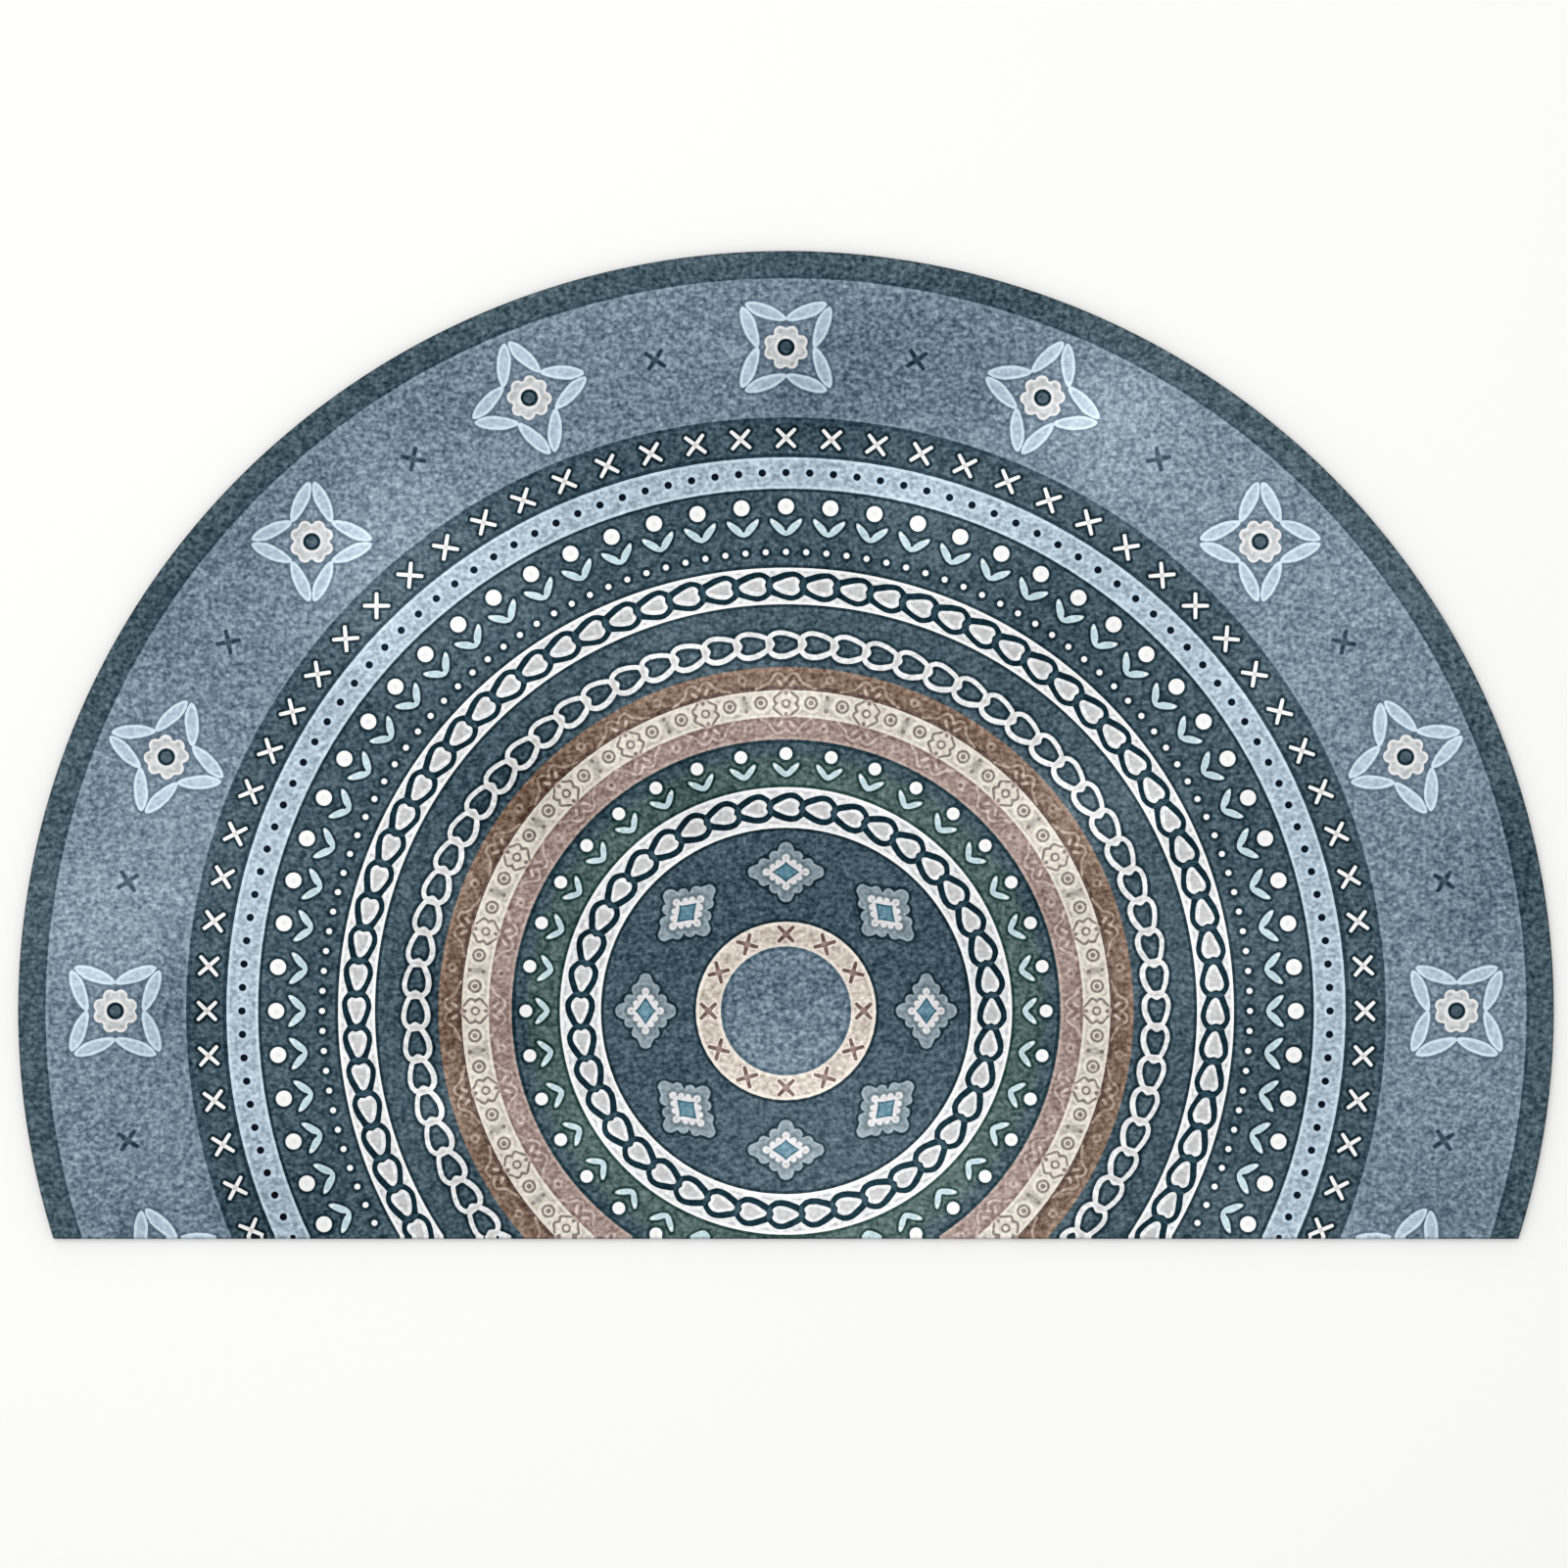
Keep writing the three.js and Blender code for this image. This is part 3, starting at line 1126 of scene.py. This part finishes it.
@dataclass(frozen=True)
class Grain:
    """One size of the pile's mottle.

    Attributes:
        size: How far apart its clumps are, in millimetres.
        strength: How far it moves the tone, as a share of full white, from end to end.
        detail: How many finer octaves it has.
        stretch: How much longer than deep a clump is.
        seed: Where in the noise it is cut.
    """

    size: float
    strength: float
    detail: float = 0.0
    stretch: float = 1.0
    seed: float = 0.0


@dataclass(frozen=True)
class DyedPile:
    """Short cut polyester pile, dye-printed: matt and a little velvety.

    The fibres stand up in small clumps that take the dye unevenly, which gives the eye a fine
    worm-like mottle, soft clouds over a hand's width and a few worn streaks.

    Attributes:
        grains: The sizes of mottle, the first of which also gives the relief.
        roughness: How matt it is.
        specular: How strongly it mirrors light.
        sheen: How velvety it is at a low angle.
        sheen_roughness: How soft that sheen is.
        nap: How deep the relief is, in millimetres.
        darkest: The darkest tone that the mottle leaves, as a share of full white.
    """

    grains: tuple[Grain, ...] = (
        Grain(1.6, 0.25, 0.0, 1.05, 0.0),
        Grain(2.4, 0.43, 0.0, 1.15, 7.0),
        Grain(9.0, 0.03, 0.0, 1.6, 13.0),
        Grain(26.0, 0.05, 1.0, 2.2, 29.0),
    )
    roughness: float = 0.95
    specular: float = 0.1
    sheen: float = 0.07
    sheen_roughness: float = 0.5
    nap: float = 0.35
    darkest: float = 0.02

    def build(self) -> bpy.types.Material:
        """Makes the material, which reads the dye and its mottle from the mesh."""
        material, tree, output = new_material("dyed_cut_pile")
        place = add_node(tree, "TexCoord").outputs["Object"]
        dye = add_node(tree, "Attribute", {"attribute_name": "dye"})
        mottle = add_node(tree, "Attribute", {"attribute_name": "mottle"})
        total = None
        heights = []
        for grain in self.grains:
            scale = 1 / (grain.size * MM)
            size = (scale / grain.stretch, scale, 0.25 * scale)
            cut = (grain.seed, 0.0, grain.seed)
            spread = add_node(tree, "Mapping", {"Scale": size, "Location": cut}, Vector=place)
            wave = add_node(
                tree, "TexNoise", {"Scale": 1.0, "Detail": grain.detail, "Roughness": 0.55},
                Vector=spread.outputs[0],
            )
            part = add_node(
                tree, "Math", {"operation": "MULTIPLY_ADD", 1: grain.strength, 2: -0.5 * grain.strength},
                in_0=wave.outputs["Fac"],
            )
            heights.append(wave.outputs["Fac"])
            if total is None:
                total = part.outputs[0]
            else:
                total = add_node(
                    tree, "Math", {"operation": "ADD"}, in_0=total, in_1=part.outputs[0]
                ).outputs[0]
        wear = add_node(tree, "Attribute", {"attribute_name": "wear"})
        shown = add_node(
            tree, "Math", {"operation": "MULTIPLY_ADD"}, in_0=total, in_1=mottle.outputs["Fac"],
            in_2=wear.outputs["Fac"],
        ).outputs[0]
        seen = add_node(tree, "Gamma", {"Gamma": 1 / DISPLAY_GAMMA}, Color=dye.outputs["Color"])
        mixed = add_node(tree, "VectorMath", {"operation": "ADD"}, in_0=seen.outputs[0], in_1=shown)
        least = (self.darkest, self.darkest, self.darkest)
        held = add_node(tree, "VectorMath", {"operation": "MAXIMUM", 1: least}, in_0=mixed.outputs[0])
        colour = add_node(tree, "Gamma", {"Gamma": DISPLAY_GAMMA}, Color=held.outputs[0])
        relief = add_node(
            tree, "Bump", {"Strength": 0.5, "Distance": self.nap * MM}, Height=heights[0]
        )
        pile = add_node(
            tree, "BsdfPrincipled",
            {"Roughness": self.roughness, "Specular IOR Level": self.specular,
             "Sheen Weight": self.sheen, "Sheen Roughness": self.sheen_roughness},
            Base_Color=colour.outputs[0], Normal=relief.outputs[0],
        )
        tree.links.new(pile.outputs[0], output.inputs["Surface"])
        return material


@dataclass(frozen=True)
class RubberBacking:
    """Thin rubbered backing cloth, calendered: dark, matt and finely ribbed.

    Attributes:
        tone: Its middle colour, as sRGB hex.
        rib: The spacing of its ribs, in millimetres.
        rib_depth: How deep they are, in millimetres.
        roughness: How matt it is.
        specular: How strongly it mirrors light.
    """

    tone: str = "3B3F42"
    rib: float = 2.4
    rib_depth: float = 0.3
    roughness: float = 0.75
    specular: float = 0.3

    def build(self) -> bpy.types.Material:
        """Makes the material."""
        material, tree, output = new_material("rubber_backing")
        place = add_node(tree, "TexCoord").outputs["Object"]
        scale = 1 / (self.rib * MM)
        spread = add_node(tree, "Mapping", {"Scale": (scale, scale, scale)}, Vector=place)
        cells = add_node(tree, "TexVoronoi", {"Scale": 1.0, "Randomness": 0.25}, Vector=spread.outputs[0])
        clouds = add_node(tree, "TexNoise", {"Scale": 0.2, "Detail": 3.0}, Vector=spread.outputs[0])
        tone = add_node(tree, "ValToRGB", {}, Fac=clouds.outputs["Fac"])
        tone.color_ramp.elements[0].color = linear(self.tone, 0.8)
        tone.color_ramp.elements[1].color = linear(self.tone, 1.25)
        relief = add_node(
            tree, "Bump", {"Strength": 0.4, "Distance": self.rib_depth * MM},
            Height=cells.outputs["Distance"],
        )
        rubber = add_node(
            tree, "BsdfPrincipled", {"Roughness": self.roughness, "Specular IOR Level": self.specular},
            Base_Color=tone.outputs[0], Normal=relief.outputs[0],
        )
        tree.links.new(rubber.outputs[0], output.inputs["Surface"])
        return material


@dataclass
class PrintedMat:
    """The mat: a skin of printed pile, its rolled and cut edge, and the backing.

    Attributes:
        shape: The mat's sizes.
        unevenness: How far the pile's surface swells and sinks.
        weave: The spacing of the skin's loose points.
        edge_steps: How many steps the rolled edge has.
        edge_shade: Painted shade on the rolled and cut edge: the share of the print's tone that its darkest
            part keeps.
        ink_level: What every dye is multiplied by, so that the studio's light shows it as charted.
        top_sink: How far the pile's mean surface lies under the mat's full thickness.
        waves: The lengths of the surface's long and short waves.
        rim_margin: How far inside the rim the loose points stop.
        map_width: The width of cloth that the piece's own UV map covers.
        map_rise: How far below the frame's middle the map starts.
        under_scale: How much smaller than the pile the underside is on the map.
        under_rise: How far above the pile's middle the underside lies on the map.
    """

    shape: MatShape
    unevenness: float = 0.22
    weave: float = 9.0
    edge_steps: int = 4
    edge_shade: float = 0.42
    ink_level: float = 0.92
    top_sink: float = 0.1
    waves: tuple[float, float] = (55.0, 21.0)
    rim_margin: float = 8.0
    map_width: float = 940.0
    map_rise: float = 310.0
    under_scale: float = 0.45
    under_rise: float = 460.0

    def loose_points(self, chart: PrintChart) -> None:
        """Strews even points over the chart, so that the skin can swell and sink."""
        margin = self.rim_margin
        wide, high = self.shape.half_width - margin, self.shape.arc_height - margin
        row_step = self.weave * math.sqrt(3) / 2
        for row in range(round(-wide / row_step), round(wide / row_step) + 1):
            y = row * row_step
            if y < -self.shape.cut_drop + margin:
                continue
            for column in range(round(-wide / self.weave), round(wide / self.weave) + 1):
                x = (column + 0.5 * (row % 2)) * self.weave
                if (x / wide) ** 2 + (y / high) ** 2 < 1:
                    chart.points.append(Vector((x, y + self.shape.centre_y)))

    def swell(self, x: float, y: float) -> float:
        """Gives the height of the pile's surface at a place, in millimetres."""
        long, short = self.waves
        wave = noise.noise(Vector((x / long, y / long, 3.0)))
        wave += 0.5 * noise.noise(Vector((x / short, y / short, 9.0)))
        return self.shape.thickness - self.top_sink + self.unevenness * wave

    def skin(self, chart: PrintChart) -> tuple[bmesh.types.BMesh, list[Dye]]:
        """Cuts the chart into faces, each in the dye of the area that lies on top there.

        Args:
            chart: The print, with its loose points.

        Returns:
            The skin, whose faces carry the number of their area, and the areas' dyes.
        """
        corners, _, faces, _, _, areas = delaunay_2d_cdt(chart.points, [], chart.areas, 0, 1e-4, True)
        skin = bmesh.new()
        area_of = skin.faces.layers.int.new("area")
        verts = [skin.verts.new((c.x, c.y, 0.0)) for c in corners]
        for face, over in zip(faces, areas):
            if 0 in over:
                skin.faces.new([verts[i] for i in face])[area_of] = max(over)
        bmesh.ops.delete(skin, geom=[v for v in skin.verts if not v.link_faces], context="VERTS")
        bmesh.ops.recalc_face_normals(skin, faces=skin.faces)
        if sum(f.normal.z for f in skin.faces) < 0:
            bmesh.ops.reverse_faces(skin, faces=skin.faces)
        return skin, chart.dyes

    def edge_profile(self) -> list[tuple[float, float, float]]:
        """Gives the edge's steps: how far out, at what height and how much painted shade darkens the dye
        there.
        """
        r, top = self.shape.pile_round, self.shape.thickness - self.top_sink
        out = []
        for i in range(1, self.edge_steps + 1):
            turn = 0.5 * math.pi * i / self.edge_steps
            # Painted shade: the dye darkens step by step down the roll, and the cut side below is darkest.
            dark = 1 + (self.edge_shade - 1) * i / self.edge_steps
            out.append((r * math.sin(turn), top - r * (1 - math.cos(turn)), dark))
        out.append((r + 0.05, 0.5 * (top - r + self.shape.backing), self.edge_shade))
        out.append((r - 0.1, self.shape.backing, self.edge_shade))
        out.append((r - 0.1, self.shape.backing, 1.0))
        out.append((r - 0.1, 0.0, 1.0))
        return out

    def outward(self, skin: bmesh.types.BMesh) -> None:
        """Stores at each rim corner which way is straight out, for the edge's steps."""
        out = skin.verts.layers.float_vector.new("out")
        for vert in skin.verts:
            rim = [e for e in vert.link_edges if e.is_boundary]
            if len(rim) != 2:
                continue
            ways = []
            for edge in rim:
                side = (edge.verts[1].co - edge.verts[0].co).normalized()
                side = Vector((side.y, -side.x, 0.0))
                middle = edge.link_faces[0].calc_center_median()
                ways.append(side if side.dot(edge.verts[0].co - middle) > 0 else -side)
            vert[out] = (ways[0] + ways[1]) / (1 + ways[0].dot(ways[1]))

    def hem(self, skin: bmesh.types.BMesh) -> None:
        """Rolls the rim over and down to the floor, darkens it with painted shade, and closes the underside.
        """
        out = skin.verts.layers.float_vector["out"]
        area_of = skin.faces.layers.int["area"]
        dark = skin.verts.layers.float.new("dark")
        shift = skin.verts.layers.float.new("shift")
        for vert in skin.verts:
            vert[dark] = 1.0
            vert.co.z = self.swell(vert.co.x, vert.co.y)
        rim = [e for e in skin.edges if e.is_boundary]
        start = {}
        done = 0.0
        was = (0.0, self.shape.thickness)
        for step, (reach, height, tone) in enumerate(self.edge_profile()):
            made = bmesh.ops.extrude_edge_only(skin, edges=rim)["geom"]
            done += math.hypot(reach - was[0], height - was[1])
            for vert in (g for g in made if isinstance(g, bmesh.types.BMVert)):
                vert.co += Vector(vert[out]) * (reach - was[0])
                vert.co.z = height
                # The painted shade of this step of the edge.
                vert[dark] = tone
                vert[shift] = done
            for face in (g for g in made if isinstance(g, bmesh.types.BMFace)):
                upper = max(face.edges, key=lambda e: sum(v.co.z - v[shift] for v in e.verts))
                beside = next(f for f in upper.link_faces if f is not face)
                face[area_of] = beside[area_of]
                face.material_index = int(step >= len(self.edge_profile()) - 1)
            rim = [g for g in made if isinstance(g, bmesh.types.BMEdge) and g.is_boundary]
            was = (reach, height)
        closed = bmesh.ops.holes_fill(skin, edges=rim, sides=0)["faces"]
        for face in closed:
            face.material_index = 1
            face[area_of] = 0
        bmesh.ops.recalc_face_normals(skin, faces=skin.faces)

    def build(self) -> bpy.types.Object:
        """Makes the mat's mesh with its dyes, its own UV map and its materials.

        Returns:
            The mat.
        """
        chart = RingPattern(self.shape).chart()
        self.loose_points(chart)
        log.info("print: %d areas of dye, %d points", len(chart.areas), len(chart.points))
        skin, dyes = self.skin(chart)
        self.outward(skin)
        self.hem(skin)
        bmesh.ops.triangulate(skin, faces=[f for f in skin.faces if len(f.verts) > 3])
        self.paint(skin, dyes)
        bmesh.ops.scale(skin, vec=(MM, MM, MM), verts=skin.verts)
        mesh = bpy.data.meshes.new("printed_mat")
        skin.to_mesh(mesh)
        skin.free()
        mesh.materials.append(DyedPile().build())
        mesh.materials.append(RubberBacking().build())
        mat = bpy.data.objects.new("printed_mat", mesh)
        bpy.context.scene.collection.objects.link(mat)
        log.info("printed_mat: %d triangles", len(mesh.polygons))
        return mat

    def paint(self, skin: bmesh.types.BMesh, dyes: list[Dye]) -> None:
        """Writes each face's dye, mottle, wear and place on the map.

        Args:
            skin: The whole mat.
            dyes: The dye of each area.
        """
        area_of = skin.faces.layers.int["area"]
        dark = skin.verts.layers.float["dark"]
        shift = skin.verts.layers.float["shift"]
        out = skin.verts.layers.float_vector["out"]
        colour = skin.loops.layers.float_color.new("dye")
        mottle = skin.loops.layers.float.new("mottle")
        wear = skin.verts.layers.float.new("wear")
        for vert in skin.verts:
            x, y = vert.co.x, vert.co.y - self.shape.centre_y
            vert[wear] = sum(patch.at(x, y) for patch in WORN_PATCHES)
        place = skin.loops.layers.uv.new("OFBake")
        tones = [linear(d.tone, self.ink_level) for d in dyes]
        reach = self.shape.pile_round
        for face in skin.faces:
            tone, grain = tones[face[area_of]], dyes[face[area_of]].mottle
            under = face.material_index == 1 and face.normal.z < -0.5
            face.smooth = face.material_index == 0
            for loop in face.loops:
                vert = loop.vert
                # The edge's painted shade darkens the dye here.
                shade = vert[dark]
                loop[colour] = (tone[0] * shade, tone[1] * shade, tone[2] * shade, 1.0)
                loop[mottle] = grain
                flat = vert.co - Vector(vert[out]) * min(reach, vert[shift]) if vert[shift] else vert.co
                flat = flat + Vector(vert[out]) * vert[shift]
                u, v = flat.x, flat.y
                if under:
                    u, v = self.under_scale * vert.co.x, self.under_scale * vert.co.y + self.under_rise
                loop[place].uv = (0.5 + u / self.map_width, (v + self.map_rise) / self.map_width)


@dataclass
class Studio:
    """The plain studio: a pale floor, soft light from above and the camera.

    Attributes:
        floor_size: The floor's side, in metres.
        floor_tone: The floor's colour.
        sky: The strength of the even light from all round.
        soft_box: The power of the big soft light overhead, in watts.
        box_size: That light's side, in metres.
        box_at: Where it hangs, in metres. It points at the mat.
        camera_height: From the mat's top face to the camera, in metres.
        aim: Where the camera points, in metres.
        lens: The focal length, in millimetres.
        sensor: The camera's film width, in millimetres.
    """

    floor_size: float = 14.0
    floor_tone: str = "F7F7F6"
    sky: float = 0.69
    soft_box: float = 51.5
    box_size: float = 3.0
    box_at: tuple[float, float, float] = (-0.5, 0.6, 3.2)
    camera_height: float = 2.1676
    aim: Point = (-0.00116, -0.02292)
    lens: float = 85.0
    sensor: float = 36.0

    def build_floor(self) -> bpy.types.Object:
        """Makes the floor, painted board with a very faint tone."""
        sheet = bmesh.new()
        bmesh.ops.create_grid(sheet, x_segments=8, y_segments=8, size=self.floor_size / 2)
        mesh = bpy.data.meshes.new("floor")
        sheet.to_mesh(mesh)
        sheet.free()
        material, tree, output = new_material("painted_board")
        paint = add_node(
            tree, "BsdfPrincipled",
            {"Base Color": linear(self.floor_tone), "Roughness": 0.9, "Specular IOR Level": 0.1},
        )
        tree.links.new(paint.outputs[0], output.inputs["Surface"])
        mesh.materials.append(material)
        floor = bpy.data.objects.new("floor", mesh)
        bpy.context.scene.collection.objects.link(floor)
        return floor

    def build_light(self) -> None:
        """Lights the scene evenly from all round, with one big soft box overhead."""
        world = bpy.data.worlds.new("studio")
        bpy.context.scene.world = world
        world.use_nodes = True
        background = world.node_tree.nodes["Background"]
        background.inputs["Color"].default_value = (1.0, 1.0, 1.0, 1.0)
        background.inputs["Strength"].default_value = self.sky
        box = bpy.data.lights.new("soft_box", "AREA")
        box.shape = "SQUARE"
        box.size = self.box_size
        box.energy = self.soft_box
        lamp = bpy.data.objects.new("soft_box", box)
        lamp.location = self.box_at
        lamp.rotation_euler = (-Vector(self.box_at)).to_track_quat("-Z", "Y").to_euler()
        bpy.context.scene.collection.objects.link(lamp)

    def build_camera(self, top: float) -> None:
        """Hangs the camera straight above the mat.

        Args:
            top: The height of the mat's top face, in metres.
        """
        data = bpy.data.cameras.new("camera")
        data.lens = self.lens
        data.sensor_width = self.sensor
        camera = bpy.data.objects.new("camera", data)
        camera.location = (self.aim[0], self.aim[1], top + self.camera_height)
        bpy.context.scene.collection.objects.link(camera)
        bpy.context.scene.camera = camera

    def build(self, top: float) -> None:
        """Sets the whole studio up round a mat of that height."""
        bpy.context.scene.view_settings.view_transform = "Standard"
        self.build_camera(top)
        self.build_light()
        self.build_floor()


def main() -> None:
    """Builds the studio and the mat, hangs the mat on the root body and hides the imported mat."""
    logging.basicConfig(level=logging.INFO, format="%(message)s")
    shape = MatShape()
    Studio().build(shape.thickness * MM)
    mat = PrintedMat(shape).build()
    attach(mat, "root")
    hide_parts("mat")


if __name__ == "__main__":
    main()
